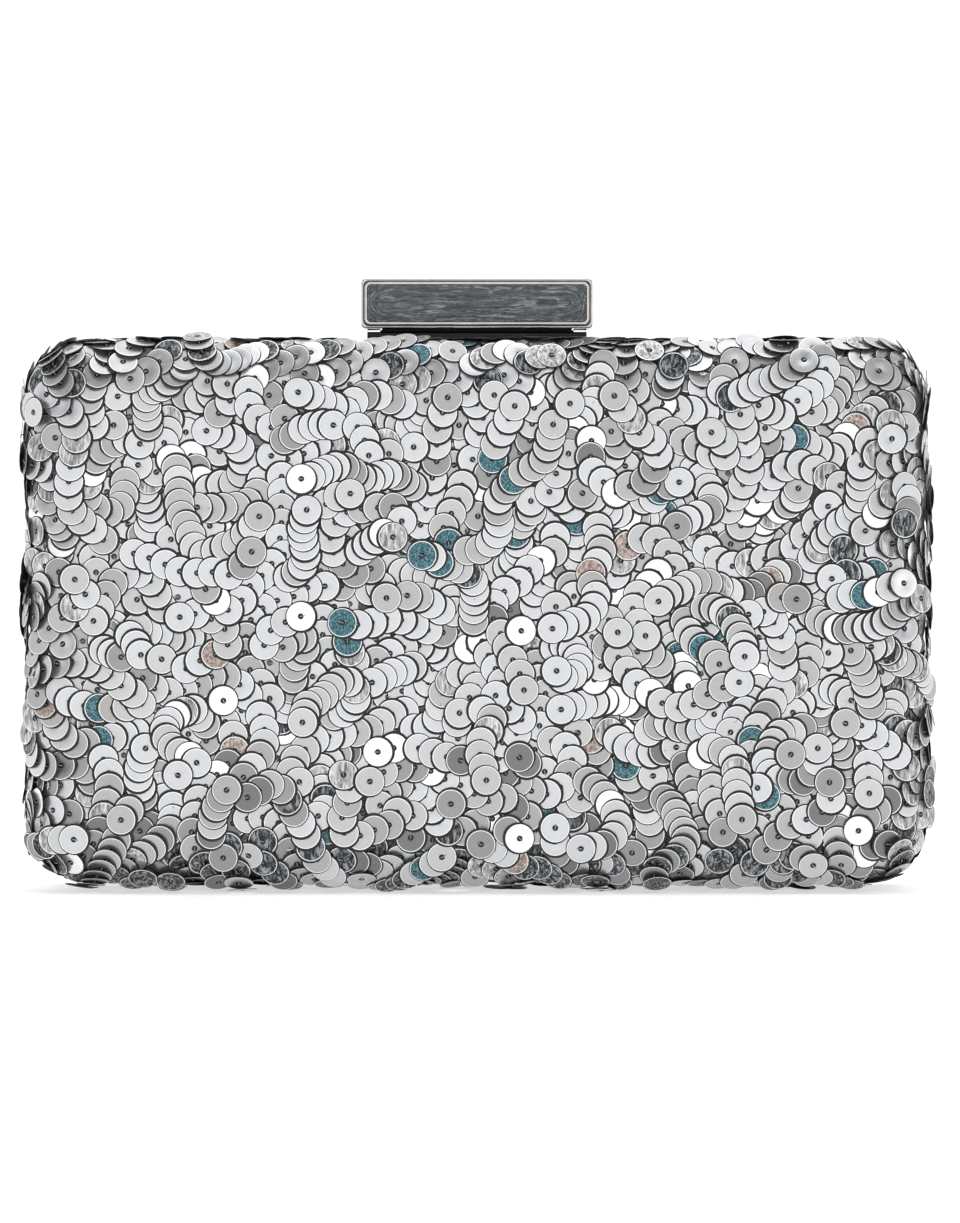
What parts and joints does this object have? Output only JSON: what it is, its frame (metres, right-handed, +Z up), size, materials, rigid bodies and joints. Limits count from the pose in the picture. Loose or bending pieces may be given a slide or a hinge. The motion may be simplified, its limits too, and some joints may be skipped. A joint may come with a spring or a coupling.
{
  "type": "evening clutch bag",
  "caption": "Hard box clutch covered in flat silver sequins, its halves hinged along the bottom and shut on top by a bar clasp with a slate-grey inlay.",
  "frame": {"origin": "under the middle of the bag, on the parting plane between the halves, at the height of the covers' undersides", "axes": "+Z up, +X to the right along the bag's width, +Y towards the back; the front faces -Y"},
  "size_m": [0.187, 0.046, 0.1262],
  "materials": {
    "sequin_cloth": "silver flat sequins sewn overlapping on a dark base cloth",
    "wadding": "thin polyester wadding",
    "box_moulding": "moulded box",
    "polished_metal": "polished silver-coloured plate",
    "dark_plate": "blackened steel plate under the clasp bar",
    "lining_satin": "grey satin",
    "plain_steel": "plain steel",
    "slate_enamel": "glossy marbled slate-grey enamel"
  },
  "bodies": {
    "back_half": {"back_shell": "box_moulding", "back_padding": "wadding", "back_cover": "sequin_cloth", "back_rail": "polished_metal", "back_lining": "lining_satin", "slip_pocket": "lining_satin", "left_hinge_back_leaf": "plain_steel", "right_hinge_back_leaf": "plain_steel", "left_hinge_pin": "plain_steel", "right_hinge_pin": "plain_steel", "back_hinge_rivets": "plain_steel", "clasp_bracket": "dark_plate", "clasp_bracket_rivets": "plain_steel", "clasp_pin": "plain_steel", "clasp_spring": "plain_steel"},
    "front_half": {"front_shell": "box_moulding", "front_padding": "wadding", "front_cover": "sequin_cloth", "front_rail": "polished_metal", "front_lining": "lining_satin", "left_hinge_front_leaf": "plain_steel", "right_hinge_front_leaf": "plain_steel", "front_hinge_rivets": "plain_steel", "clasp_base": "dark_plate", "clasp_base_rivets": "plain_steel"},
    "clasp_bar": {"clasp_bar": "polished_metal", "clasp_bezel": "polished_metal", "clasp_inlay": "slate_enamel"}
  },
  "joints": [
    {"name": "lid_open", "type": "hinge", "parent": "back_half", "child": "front_half", "pos_m": [0, 0, 0.0015], "axis": [1, 0, 0], "range_deg": [0, 95]},
    {"name": "clasp_lift", "type": "hinge", "parent": "back_half", "child": "clasp_bar", "pos_m": [0, 0.0024, 0.119], "axis": [-1, 0, 0], "range_deg": [0, 55], "stiffness_Nm_per_rad": 0.01, "springref_deg": -28.65}
  ]
}
